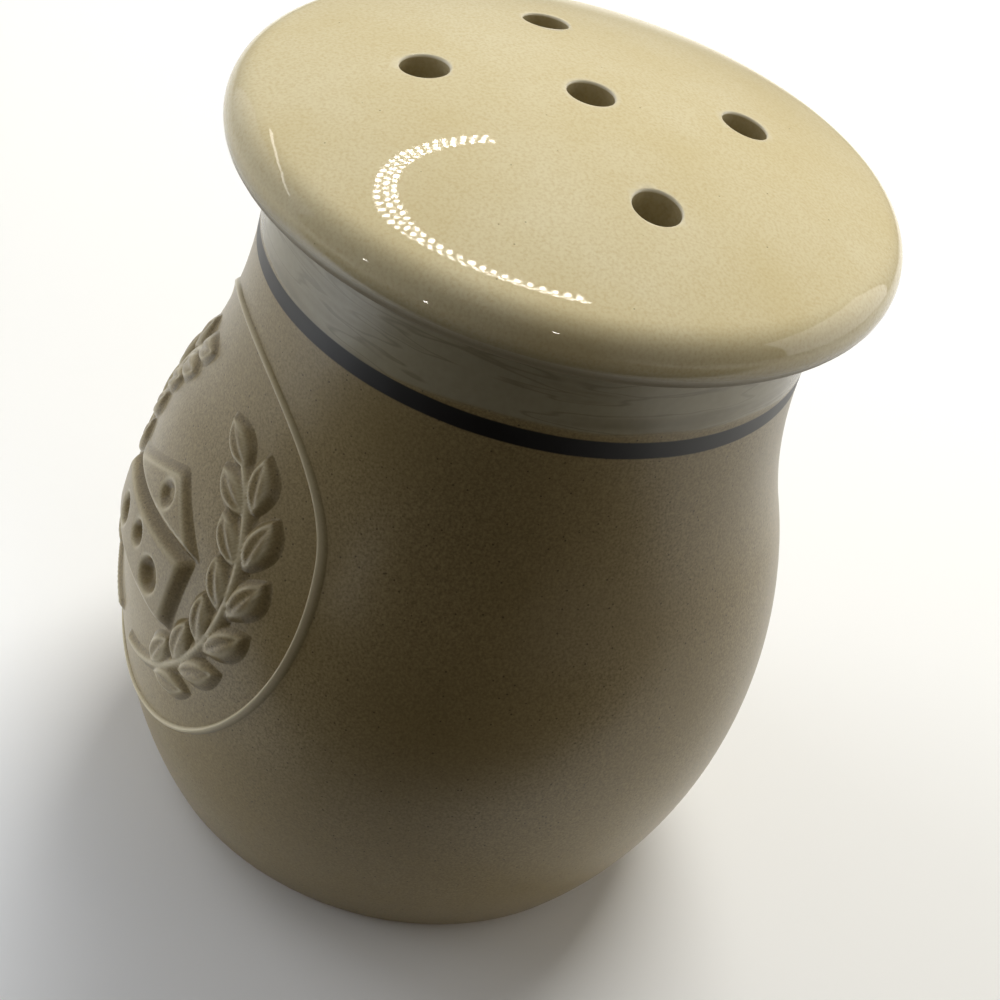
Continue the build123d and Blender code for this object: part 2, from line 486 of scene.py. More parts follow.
    def _band(self, tree: Tree, spot: Socket, height: Socket) -> Socket:
        """Mask of the brushed band, whose edges wander a little.

        Args:
            tree: Node tree that gets the nodes.
            spot: Object coordinates.
            height: Height above the base.

        Returns:
            A socket that is one in the band and zero elsewhere.
        """
        level = self._drifting(tree, spot, height, self.band_wave, self.band_drift, detail=2.0)
        edges = []
        for edge, below, above in ((self.band_low, 0.0, 1.0), (self.band_high, 1.0, 0.0)):
            middle = edge + self.band_drift / 2
            edges.append(add_node(
                tree, "ShaderNodeMapRange", SMOOTH,
                {"Value": level, "From Min": (middle - self.band_edge) * MM,
                 "From Max": (middle + self.band_edge) * MM, "To Min": below, "To Max": above},
            ).outputs[0])
        both = {0: edges[0], 1: edges[1]}
        return add_node(tree, "ShaderNodeMath", {"operation": "MULTIPLY"}, both).outputs[0]


@dataclass(frozen=True)
class CreamGlaze:
    """Glossy cream glaze over buff stoneware.

    It levels to a shine with a faint orange peel, and iron in the clay shows through as scattered
    pinpricks. Under the lid's rim it is brown and matt, partly thin dry glaze and partly painted shade
    under the overhang; in the holes it is tan, painted shade; round their rims it is pale, partly thin
    glaze and partly a painted highlight.
    """

    name: str
    pale: str = "#efe6c5"
    deep: str = "#d9c792"
    speck: str = "#6b5836"
    # Pale round the hole rims, partly thin glaze and partly a painted highlight.
    thin_and_highlight: str = "#f1ead2"
    # Brown under the rim and tan in the holes: painted shade, under the rim partly thin dry glaze too.
    pooled_and_shade: str = "#5e5132"
    grain: str = "#cfb987"
    roughness: float = 0.03
    dry: float = 0.7
    dry_from: float = 0.45
    ior: float = 1.5
    cloud_size: float = 18.0
    grain_size: float = 0.4
    grain_share: float = 0.55
    speck_spacing: float = 2.4
    speck_share: float = 0.35
    speck_radius: float = 0.15
    speck_strength: float = 0.55
    peel_size: float = 0.9
    peel_depth: float = 0.0016
    wave_size: float = 16.0
    wave_depth: float = 0.03

    def material(self) -> Material:
        """Build the node material.

        Returns:
            The material.
        """
        material, tree = start_material(self.name)
        spot = add_node(tree, "ShaderNodeTexCoord").outputs["Object"]
        # The mask of painted shade under the rim also turns the glaze matt there.
        dryness = add_node(tree, "ShaderNodeAttribute", {"attribute_name": POOLED_GLAZE_AND_SHADE})
        shine = add_node(
            tree, "ShaderNodeMapRange", {},
            {"Value": dryness.outputs["Fac"], "From Min": self.dry_from, "To Min": self.roughness,
             "To Max": self.dry},
        )
        wavy = bumped(tree, spot, self.wave_size, self.wave_depth)
        peel = bumped(tree, spot, self.peel_size, self.peel_depth, wavy)
        surface = add_node(
            tree, "ShaderNodeBsdfPrincipled", {},
            {"Base Color": self._cream(tree, spot), "Roughness": shine.outputs[0], "IOR": self.ior,
             "Normal": peel},
        )
        add_node(tree, "ShaderNodeOutputMaterial", {}, {0: surface.outputs[0]})
        return material

    def _cream(self, tree: Tree, spot: Socket) -> Socket:
        """Colour of the glaze: soft clouds, fine grain, pale and dark marks of thin glaze, painted
        highlight and painted shade, and pinpricks.

        Args:
            tree: Node tree that gets the nodes.
            spot: Object coordinates.

        Returns:
            The colour's socket.
        """
        clouds = add_node(
            tree, "ShaderNodeTexNoise", {},
            {"Vector": spot, "Scale": per_size(self.cloud_size), "Detail": 5.0},
        )
        clouded = add_node(
            tree, "ShaderNodeMix", COLOURS,
            {SHARE: clouds.outputs[0], UNDER: linear(self.deep), OVER: linear(self.pale)},
        )
        grain = add_node(
            tree, "ShaderNodeTexNoise", {},
            {"Vector": spot, "Scale": per_size(self.grain_size), "Detail": 3.0},
        )
        grain_share = add_node(
            tree, "ShaderNodeMapRange", {},
            {"Value": grain.outputs[0], "From Min": 0.4, "From Max": 0.75, "To Max": self.grain_share},
        )
        grained = add_node(
            tree, "ShaderNodeMix", COLOURS,
            {SHARE: grain_share.outputs[0], UNDER: clouded.outputs[MIXED], OVER: linear(self.grain)},
        )
        edged = glaze_depth_and_painted_light(tree, grained.outputs[MIXED], self.pooled_and_shade, self.thin_and_highlight)
        specks = speck_mask(tree, spot, self.speck_spacing, self.speck_share, self.speck_radius)
        faint = add_node(
            tree, "ShaderNodeMath", {"operation": "MULTIPLY"}, {0: specks, 1: self.speck_strength}
        )
        specked = {SHARE: faint.outputs[0], UNDER: edged, OVER: linear(self.speck)}
        return add_node(tree, "ShaderNodeMix", COLOURS, specked).outputs[MIXED]


@dataclass(frozen=True)
class BareClay:
    """Unglazed buff stoneware where the pot stood in the kiln: dry, matt and gritty."""

    name: str = "bare_buff_clay"
    pale: str = "#cbb48c"
    dark: str = "#b1976c"
    grit: str = "#6a4f31"
    grain_size: float = 0.7
    grain_depth: float = 0.04
    grit_spacing: float = 1.6
    grit_share: float = 0.3
    grit_radius: float = 0.25
    roughness: float = 0.88
    ior: float = 1.5

    def material(self) -> Material:
        """Build the node material.

        Returns:
            The material.
        """
        material, tree = start_material(self.name)
        spot = add_node(tree, "ShaderNodeTexCoord").outputs["Object"]
        grain = add_node(
            tree, "ShaderNodeTexNoise", {},
            {"Vector": spot, "Scale": per_size(self.grain_size), "Detail": 4.0},
        )
        grained = add_node(
            tree, "ShaderNodeMix", COLOURS,
            {SHARE: grain.outputs[0], UNDER: linear(self.dark), OVER: linear(self.pale)},
        )
        grit = speck_mask(tree, spot, self.grit_spacing, self.grit_share, self.grit_radius)
        gritty = add_node(
            tree, "ShaderNodeMix", COLOURS,
            {SHARE: grit, UNDER: grained.outputs[MIXED], OVER: linear(self.grit)},
        )
        rough = bumped(tree, spot, self.grain_size, self.grain_depth)
        surface = add_node(
            tree, "ShaderNodeBsdfPrincipled", {},
            {"Base Color": gritty.outputs[MIXED], "Roughness": self.roughness, "IOR": self.ior,
             "Normal": rough},
        )
        add_node(tree, "ShaderNodeOutputMaterial", {}, {0: surface.outputs[0]})
        return material


@dataclass(frozen=True)
class Silicone:
    """Moulded food-grade silicone: milky, satin and slightly see-through."""

    name: str = "moulded_silicone"
    pale: str = "#dedbd0"
    dark: str = "#cbc8bb"
    haze_size: float = 6.0
    texture_size: float = 0.4
    texture_depth: float = 0.006
    roughness: float = 0.45
    ior: float = 1.41
    milkiness: float = 0.25
    light_reach: float = 1.2
    reach_by_colour: tuple[float, float, float] = (1.0, 0.9, 0.8)

    def material(self) -> Material:
        """Build the node material.

        Returns:
            The material.
        """
        material, tree = start_material(self.name)
        spot = add_node(tree, "ShaderNodeTexCoord").outputs["Object"]
        haze = add_node(
            tree, "ShaderNodeTexNoise", {},
            {"Vector": spot, "Scale": per_size(self.haze_size), "Detail": 3.0},
        )
        hazed = add_node(
            tree, "ShaderNodeMix", COLOURS,
            {SHARE: haze.outputs[0], UNDER: linear(self.dark), OVER: linear(self.pale)},
        )
        surface = add_node(
            tree, "ShaderNodeBsdfPrincipled", {},
            {"Base Color": hazed.outputs[MIXED], "Roughness": self.roughness, "IOR": self.ior,
             "Normal": bumped(tree, spot, self.texture_size, self.texture_depth),
             "Subsurface Weight": self.milkiness, "Subsurface Radius": self.reach_by_colour,
             "Subsurface Scale": self.light_reach * MM},
        )
        add_node(tree, "ShaderNodeOutputMaterial", {}, {0: surface.outputs[0]})
        return material


@dataclass(frozen=True)
class PaleFloor:
    """Matt off-white paper sheet that the studio's floor is laid with."""

    name: str = "pale_studio_sheet"
    colour: str = "#f7f7f5"
    roughness: float = 0.9
    mirroring: float = 0.2

    def material(self) -> Material:
        """Build the node material.

        Returns:
            The material.
        """
        material, tree = start_material(self.name)
        surface = add_node(
            tree, "ShaderNodeBsdfPrincipled", {},
            {"Base Color": linear(self.colour), "Roughness": self.roughness,
             "Specular IOR Level": self.mirroring},
        )
        add_node(tree, "ShaderNodeOutputMaterial", {}, {0: surface.outputs[0]})
        return material


@dataclass(frozen=True)
class FadingCard:
    """Dark matt card that fades out towards its edges, so that it leaves no edge on the floor."""

    colour: str
    forward: Vector
    near: float
    half_width: float
    fade: float

    def material(self) -> Material:
        """Build the node material.

        Returns:
            The material.
        """
        material, tree = start_material("dark_card")
        spot = add_node(tree, "ShaderNodeTexCoord").outputs["Object"]
        aside = self.forward.cross(Vector((0.0, 0.0, 1.0)))
        ahead, across = [
            add_node(tree, "ShaderNodeVectorMath", {"operation": "DOT_PRODUCT"}, {0: spot, 1: way})
            for way in (self.forward, aside)
        ]
        wide = add_node(tree, "ShaderNodeMath", {"operation": "ABSOLUTE"}, {0: across.outputs["Value"]})
        rise = add_node(
            tree, "ShaderNodeMapRange", SMOOTH,
            {"Value": ahead.outputs["Value"], "From Min": self.near * MM,
             "From Max": (self.near + self.fade) * MM},
        )
        fall = add_node(
            tree, "ShaderNodeMapRange", SMOOTH,
            {"Value": wide.outputs[0], "From Min": self.half_width * MM / 2,
             "From Max": self.half_width * MM, "To Min": 1.0, "To Max": 0.0},
        )
        both = {0: rise.outputs[0], 1: fall.outputs[0]}
        share = add_node(tree, "ShaderNodeMath", {"operation": "MULTIPLY"}, both)
        card = add_node(tree, "ShaderNodeBsdfDiffuse", {}, {"Color": linear(self.colour)})
        clear = add_node(tree, "ShaderNodeBsdfTransparent")
        faded = add_node(
            tree, "ShaderNodeMixShader", {}, {0: share.outputs[0], 1: clear.outputs[0], 2: card.outputs[0]}
        )
        add_node(tree, "ShaderNodeOutputMaterial", {}, {0: faded.outputs[0]})
        return material


@dataclass(frozen=True)
class Glow:
    """A plain even light source."""

    colour: str
    strength: float

    def material(self) -> Material:
        """Build the node material.

        Returns:
            The material.
        """
        material, tree = start_material("glow")
        light = add_node(
            tree, "ShaderNodeEmission", {}, {"Color": linear(self.colour), "Strength": self.strength}
        )
        add_node(tree, "ShaderNodeOutputMaterial", {}, {0: light.outputs[0]})
        return material


class Section:
    """Half section of a turned piece: a point is drawn along lines and arcs, and the line is spun."""

    MOST_TURN = math.radians(11.0)

    def __init__(self, start: Spot, pitch: float) -> None:
        """Start at a point.

        Args:
            start: First point of the line.
            pitch: Greatest distance between points in millimetres.
        """
        self.mesh: BMesh = bmesh.new()
        self.tip: BMVert = self.mesh.verts.new((start.radius, 0.0, start.height))
        self.pitch = pitch

    def line(self, radius: float, height: float) -> "Section":
        """Draw a straight line.

        Args:
            radius: Radius of its end.
            height: Height of its end.

        Returns:
            This section.
        """
        start, end = self.tip.co.copy(), Vector((radius, 0.0, height))
        steps = max(1, math.ceil((end - start).length / self.pitch))
        for step in range(1, steps + 1):
            self.tip = bmesh.ops.extrude_vert_indiv(self.mesh, verts=[self.tip])["verts"][0]
            self.tip.co = start.lerp(end, step / steps)
        return self

    def arc(self, centre: Spot, end: Spot) -> "Section":
        """Draw the shorter arc about a centre.

        Args:
            centre: Centre of the arc.
            end: Point that the arc ends at.

        Returns:
            This section.
        """
        start = self.tip.co
        before = math.atan2(start.z - centre.height, start.x - centre.radius)
        after = math.atan2(end.height - centre.height, end.radius - centre.radius)
        turn = math.remainder(after - before, math.tau)
        length = abs(turn) * math.hypot(end.radius - centre.radius, end.height - centre.height)
        steps = max(math.ceil(abs(turn) / self.MOST_TURN), math.ceil(length / self.pitch))
        drawn = bmesh.ops.spin(
            self.mesh, geom=[self.tip], cent=(centre.radius, 0.0, centre.height), axis=(0.0, -1.0, 0.0),
            dvec=(0.0, 0.0, 0.0), angle=turn, steps=steps,
        )
        self.tip = next(part for part in drawn["geom_last"] if isinstance(part, BMVert))
        return self

    def turned(self, segments: int) -> BMesh:
        """Spin the line once round the Z axis.

        Args:
            segments: Number of steps round the axis.

        Returns:
            The closed mesh.
        """
        mesh = self.mesh
        bmesh.ops.spin(
            mesh, geom=mesh.verts[:] + mesh.edges[:], cent=(0.0, 0.0, 0.0), axis=(0.0, 0.0, 1.0),
            dvec=(0.0, 0.0, 0.0), angle=math.tau, steps=segments, use_merge=True,
        )
        bmesh.ops.remove_doubles(mesh, verts=mesh.verts[:], dist=WELD)
        bmesh.ops.recalc_face_normals(mesh, faces=mesh.faces[:])
        return mesh


def upright_centre(start: Spot, end: Spot) -> Spot:
    """Centre of the arc that leaves a point straight up or down and passes through another.

    Args:
        start: Point where the arc is upright.
        end: Another point of the arc.

    Returns:
        The arc's centre.
    """
    across, up = start.radius - end.radius, start.height - end.height
    return Spot(start.radius - (across**2 + up**2) / (2 * across), start.height)


def rounding(centre: Spot, bend: float, middle: float, radius: float) -> tuple[Spot, Spot]:
    """Round off the corner between a level face and a wall that is an arc.

    Args:
        centre: Centre of the wall's arc.
        bend: Radius of the wall's arc, negative where its centre lies outside the wall.
        middle: Height of the rounding's centre.
        radius: Radius of the rounding.

    Returns:
        The rounding's centre, and the point where it meets the wall.
    """
    reach = bend - radius
    out = math.copysign(math.sqrt(reach**2 - (middle - centre.height) ** 2), bend)
    share = bend / reach
    touch = Spot(centre.radius + out * share, centre.height + (middle - centre.height) * share)
    return Spot(centre.radius + out, middle), touch


def make_piece(name: str, mesh: BMesh, finishes: list[Material], body: Body,
               node: str) -> bpy.types.Object:
    """Make a smooth object in metres from a mesh in millimetres, and put it in its node's place.

    Args:
        name: Name of the piece.
        mesh: The mesh, which is used up.
        finishes: Materials, in the order of the faces' material numbers.
        body: Body that the piece rides on.
        node: Node that the piece stands for.

    Returns:
        The new object.
    """
    bmesh.ops.scale(mesh, vec=(MM, MM, MM), verts=mesh.verts[:])
    data = bpy.data.meshes.new(name)
    mesh.to_mesh(data)
    mesh.free()
    for finish in finishes:
        data.materials.append(finish)
    data.shade_smooth()
    data.set_sharp_from_angle(angle=math.radians(SHARP_ANGLE))
    piece = bpy.data.objects.new(name, data)
    bpy.context.scene.collection.objects.link(piece)
    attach(piece, body.value)
    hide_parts(node)
    return piece


class JarFace(Enum):
    """Material numbers of the jar's faces."""

    OUTSIDE = 0
    INSIDE = 1
    FOOT = 2


@dataclass
class Jar:
    """Pot-bellied jar: foot, belly, waist, neck and lip joined by tangent arcs."""

    belly_radius: float
    seat_height: float
    foot_radius: float = 36.0
    belly_height: float = 34.0
    neck_radius: float = 35.3
    neck_height: float = 85.0
    lip_flare: float = 1.0
    wall: float = 4.8
    floor: float = 6.0
    foot_round: float = 2.0
    lip_round: float = 1.0
    floor_round: float = 6.0
    pitch: float = 1.4
    segments: int = 192

    def __post_init__(self) -> None:
        """Work out the points of the side and the centres of its arcs."""
        self.belly = Spot(self.belly_radius, self.belly_height)
        self.neck = Spot(self.neck_radius, self.neck_height)
        self.waist = Spot(
            (self.belly.radius + self.neck.radius) / 2, (self.belly.height + self.neck.height) / 2
        )
        lip = Spot(self.neck_radius + self.lip_flare, self.seat_height)
        self.low = upright_centre(self.belly, Spot(self.foot_radius, 0.0))
        self.high = upright_centre(self.belly, self.waist)
        self.hollow = upright_centre(self.neck, self.waist)
        self.flare = upright_centre(self.neck, lip)

    def radius_at(self, height: float) -> float:
        """Outer radius of the wall.

        Args:
            height: Height above the base.

        Returns:
            The radius at that height.
        """
        stretches = (
            (self.low, self.belly, self.belly.height),
            (self.high, self.belly, self.waist.height),
            (self.hollow, self.neck, self.neck.height),
            (self.flare, self.neck, math.inf),
        )
        centre, end, _ = next(stretch for stretch in stretches if height <= stretch[2])
        bend = end.radius - centre.radius
        return centre.radius + math.copysign(math.sqrt(bend**2 - (height - centre.height) ** 2), bend)

    def build(self) -> BMesh:
        """Turn the jar's whole section, outside and inside.

        Returns:
            The closed mesh.
        """
        low_bend = self.belly.radius - self.low.radius
        flare_bend = self.neck.radius - self.flare.radius
        foot_middle, foot_touch = rounding(self.low, low_bend, self.foot_round, self.foot_round)
        lip_middle, lip_touch = rounding(
            self.flare, flare_bend, self.seat_height - self.lip_round, self.lip_round
        )
        within = [Spot(spot.radius - self.wall, spot.height)
                  for spot in (self.low, self.high, self.hollow, self.belly, self.waist, self.neck)]
        low, high, hollow, belly, waist, neck = within
        floor_middle, floor_touch = rounding(low, low_bend, self.floor + self.floor_round, self.floor_round)
        mouth_middle = Spot(neck.radius + self.lip_round, self.seat_height - self.lip_round)
        section = Section(Spot(0.0, 0.0), self.pitch)
        section.line(foot_middle.radius, 0.0).arc(foot_middle, foot_touch)
        section.arc(self.low, self.belly).arc(self.high, self.waist).arc(self.hollow, self.neck)
        section.arc(self.flare, lip_touch).arc(lip_middle, Spot(lip_middle.radius, self.seat_height))
        section.line(mouth_middle.radius, self.seat_height)
        section.arc(mouth_middle, Spot(neck.radius, mouth_middle.height)).line(neck.radius, neck.height)
        section.arc(hollow, waist).arc(high, belly).arc(low, floor_touch)
        section.arc(floor_middle, Spot(floor_middle.radius, self.floor)).line(0.0, self.floor)
        return section.turned(self.segments)

    def dress(self, mesh: BMesh) -> None:
        """Number the faces by where their glaze lies.

        Args:
            mesh: The jar's mesh.
        """
        for face in mesh.faces:
            middle, normal = face.calc_center_median(), face.normal
            outward = normal.x * middle.x + normal.y * middle.y > 0
            kind = JarFace.OUTSIDE if outward else JarFace.INSIDE
            if middle.z > self.seat_height - self.lip_round / 2:
                kind = JarFace.INSIDE
            if middle.z < self.foot_round / 4:
                kind = JarFace.FOOT
            face.material_index = kind.value

    def make(self, outside: Material, inside: Material, foot: Material) -> bpy.types.Object:
        """Build the jar, dress it and put it in place.

        Args:
            outside: Glaze of the body and neck.
            inside: Glaze of the inside and the lip.
            foot: Bare clay under the base.

        Returns:
            The jar's object.
        """
        mesh = self.build()
        self.dress(mesh)
        return make_piece("glazed_jar", mesh, [outside, inside, foot], Body.JAR, "jar")


class Sprig(ABC):
    """A raised form on the medallion, softened by the glaze over it.

    The glaze is thinnest, with a painted highlight, at a place within the edge, given as a share of the
    edge's width, and pools, with painted shade, at a place on the skirt, given as a share of the skirt's
    width.
    """

    relief: float
    edge: float
    skirt: float
    # Painted highlight along the crest, together with the thin glaze there.
    thin_and_highlight_share: float = 0.6
    thin_and_highlight_place: float = 0.7
    thin_and_highlight_width: float = 0.25
    # Painted shade on the skirt, together with the pooled glaze there.
    pooled_and_shade_share: float = 0.4
    pooled_and_shade_place: float = 0.35
    pooled_and_shade_width: float = 0.4

    @abstractmethod
    def shape(self, across: float, up: float) -> tuple[float, float]:
        """Tell where a spot lies.

        Args:
            across: Distance to the right of the medallion's middle.
            up: Distance above the medallion's middle.

        Returns:
            How far inside the outline the spot lies, and the share of the full relief that it rises to.
        """

    @abstractmethod
    def sheet(self) -> BMesh:
        """Lay out a flat mesh, in the XZ plane, that covers the form and its skirt.

        Returns:
            The flat mesh.
        """


def covering_grid(left: float, right: float, low: float, high: float, pitch: float) -> BMesh:
    """Flat grid in the XZ plane.

    Args:
        left: Least X.
        right: Greatest X.
        low: Least Z.
        high: Greatest Z.
        pitch: Size of its squares.

    Returns:
        The grid's mesh.
    """
    width, height = right - left, high - low
    mesh = bmesh.new()
    bmesh.ops.create_grid(
        mesh, x_segments=round(width / pitch), y_segments=round(height / pitch), size=0.5,
        matrix=Matrix.Rotation(math.radians(90), 4, "X"),
    )
    bmesh.ops.scale(mesh, vec=(width, 1.0, height), verts=mesh.verts[:])
    bmesh.ops.translate(mesh, vec=((left + right) / 2, 0.0, (low + high) / 2), verts=mesh.verts[:])
    return mesh


@dataclass
class Border(Sprig):
    """Thin raised line round the medallion."""

    outer_radius: float
    width: float = 0.7
    relief: float = 0.45
    edge: float = 0.3
    skirt: float = 0.25
    # A strong painted highlight and thin glaze along the line, little pooled glaze and painted shade beside
    # it.
    thin_and_highlight_share: float = 0.9
    pooled_and_shade_share: float = 0.15
    rows: int = 16
    segments: int = 320

    def shape(self, across: float, up: float) -> tuple[float, float]:
        """Distance inside the line's edge, at full relief."""
        middle = self.outer_radius - self.width / 2
        return self.width / 2 - abs(math.hypot(across, up) - middle), 1.0

    def sheet(self) -> BMesh:
        """Draw a row of points across the line, and spin it about the medallion's middle.

        Returns:
            The flat ring.
        """
        mesh = bmesh.new()
        low = self.outer_radius - self.width - self.skirt
        high = self.outer_radius + self.skirt
        tip = mesh.verts.new((low, 0.0, 0.0))
        for row in range(1, self.rows + 1):
            tip = bmesh.ops.extrude_vert_indiv(mesh, verts=[tip])["verts"][0]
            tip.co.x = low + (high - low) * row / self.rows
        bmesh.ops.spin(
            mesh, geom=mesh.verts[:] + mesh.edges[:], cent=(0.0, 0.0, 0.0), axis=(0.0, 1.0, 0.0),
            dvec=(0.0, 0.0, 0.0), angle=math.tau, steps=self.segments, use_merge=True,
        )
        return mesh


@dataclass
class WedgeFace(Sprig):
    """One face of a cheese wedge: a rounded polygon with round eyes sunk in it."""

    corners: list[tuple[float, float]]
    eyes: tuple[Eye, ...]
    relief: float
    edge: float = 0.9
    skirt: float = 0.9
    corner_blend: float = 0.35
    slope: float = 0.0
    pitch: float = 0.28

    def shape(self, across: float, up: float) -> tuple[float, float]:
        """Tell where a spot lies; the relief eases off upwards by the slope.

        Args:
            across: Distance to the right of the medallion's middle.
            up: Distance above the medallion's middle.

        Returns:
            How far inside the polygon and outside the eyes the spot lies, and its share of the relief.
        """
        depths = []
        for start, end in zip(self.corners, self.corners[1:] + self.corners[:1]):
            run, rise = end[0] - start[0], end[1] - start[1]
            depths.append((run * (up - start[1]) - rise * (across - start[0])) / math.hypot(run, rise))
        depths += [math.hypot(across - eye.across, up - eye.up) - eye.radius for eye in self.eyes]
        least = min(depths)
        blended = sum(math.exp((least - depth) / self.corner_blend) for depth in depths)
        foot = min(corner[1] for corner in self.corners)
        return least - self.corner_blend * math.log(blended), 1.0 - self.slope * (up - foot)

    def sheet(self) -> BMesh:
        """Lay out a grid that covers the polygon and its skirt.

        Returns:
            The flat grid.
        """
        xs, zs = zip(*self.corners)
        reach = self.skirt + self.pitch
        return covering_grid(
            min(xs) - reach, max(xs) + reach, min(zs) - reach, max(zs) + reach, self.pitch
        )


class Kernel(NamedTuple):
    """A grain of wheat on the medallion."""

    across: float
    up: float
    turn: float


@dataclass
class WheatEar(Sprig):
    """Ear of wheat: kernels in pairs along a curved stem, with a kernel at the tip."""

    ring_radius: float
    mirrored: bool
    relief: float = 1.2
    edge: float = 0.9
    skirt: float = 0.8
    first: float = -46.0
    last: float = 46.0
    pairs: int = 6
    tip_lead: float = 16.0
    stem_start: float = -80.0
    stem_width: float = 1.5
    stem_share: float = 0.6
    length: float = 7.4
    width: float = 3.7
    splay: float = 24.0
    offset: float = 2.1
    edge_share: float = 0.72
    crease_width: float = 0.42
    crease_share: float = 0.3
    crease_start: float = 0.2
    crease_full: float = 0.9
    pitch: float = 0.28
    kernels: list[Kernel] = field(default_factory=list)

    def __post_init__(self) -> None:
        """Place the kernels along the stem."""
        self.kernels.append(self._placed(self.last + self.tip_lead, 0.0, 0.0))
        for pair in range(self.pairs):
            angle = self.first + (self.last - self.first) * pair / (self.pairs - 1)
            self.kernels.append(self._placed(angle, self.offset, self.splay))
            self.kernels.append(self._placed(angle, -self.offset, -self.splay))

    def _placed(self, angle: float, offset: float, splay: float) -> Kernel:
        """Place a kernel.

        Args:
            angle: Angle round the ring in degrees.
            offset: Distance off the ring.
            splay: Turn away from the stem in degrees.

        Returns:
            The kernel.
        """
        turned, reach = math.radians(angle), self.ring_radius + offset
        lean = math.radians(angle + 90 - splay)
        return Kernel(reach * math.cos(turned), reach * math.sin(turned), lean)

    def shape(self, across: float, up: float) -> tuple[float, float]:
        """Tell where a spot lies; a kernel swells to its middle and has a crease.

        Args:
            across: Distance to the right of the medallion's middle.
            up: Distance above the medallion's middle.

        Returns:
            How far inside the nearest kernel or the stem the spot lies, and its share of the relief.
        """
        across = -across if self.mirrored else across
        best, share = self._stem(across, up), self.stem_share
        for kernel in self.kernels:
            right, above = across - kernel.across, up - kernel.up
            along = right * math.cos(kernel.turn) + above * math.sin(kernel.turn)
            aside = above * math.cos(kernel.turn) - right * math.sin(kernel.turn)
            inside = self.width / 2 * (1 - (2 * along / self.length) ** 2) - abs(aside)
            if inside > best:
                crease = self.crease_share * hump(0.0, self.crease_width, aside)
                crease *= smooth_step(self.crease_start, self.crease_full, inside)
                swell = smooth_step(0.0, self.width / 2, inside)
                best, share = inside, self.edge_share + (1 - self.edge_share) * swell - crease
        return best, share

    def _stem(self, across: float, up: float) -> float:
        """Distance inside the stem.

        Args:
            across: Distance to the right of the medallion's middle.
            up: Distance above the medallion's middle.

        Returns:
            The distance, negative outside.
        """
        angle = math.degrees(math.atan2(up, across))
        end = min(max(angle, self.stem_start), self.last + self.tip_lead)
        near = math.radians(end)
        aside = across - self.ring_radius * math.cos(near)
        above = up - self.ring_radius * math.sin(near)
        return self.stem_width / 2 - math.hypot(aside, above)

    def sheet(self) -> BMesh:
        """Lay out a grid that covers the ear and its skirt.

        Returns:
            The flat grid.
        """
        reach = self.length / 2 + self.skirt
        stem_foot = math.radians(self.stem_start)
        tip = math.radians(self.last + self.tip_lead)
        left = self.ring_radius * min(math.cos(stem_foot), math.cos(tip)) - reach
        right = self.ring_radius + self.offset + reach
        low = self.ring_radius * math.sin(stem_foot) - reach
        high = self.ring_radius * math.sin(tip) + reach
        if self.mirrored:
            left, right = -right, -left
        return covering_grid(left, right, low, high, self.pitch)


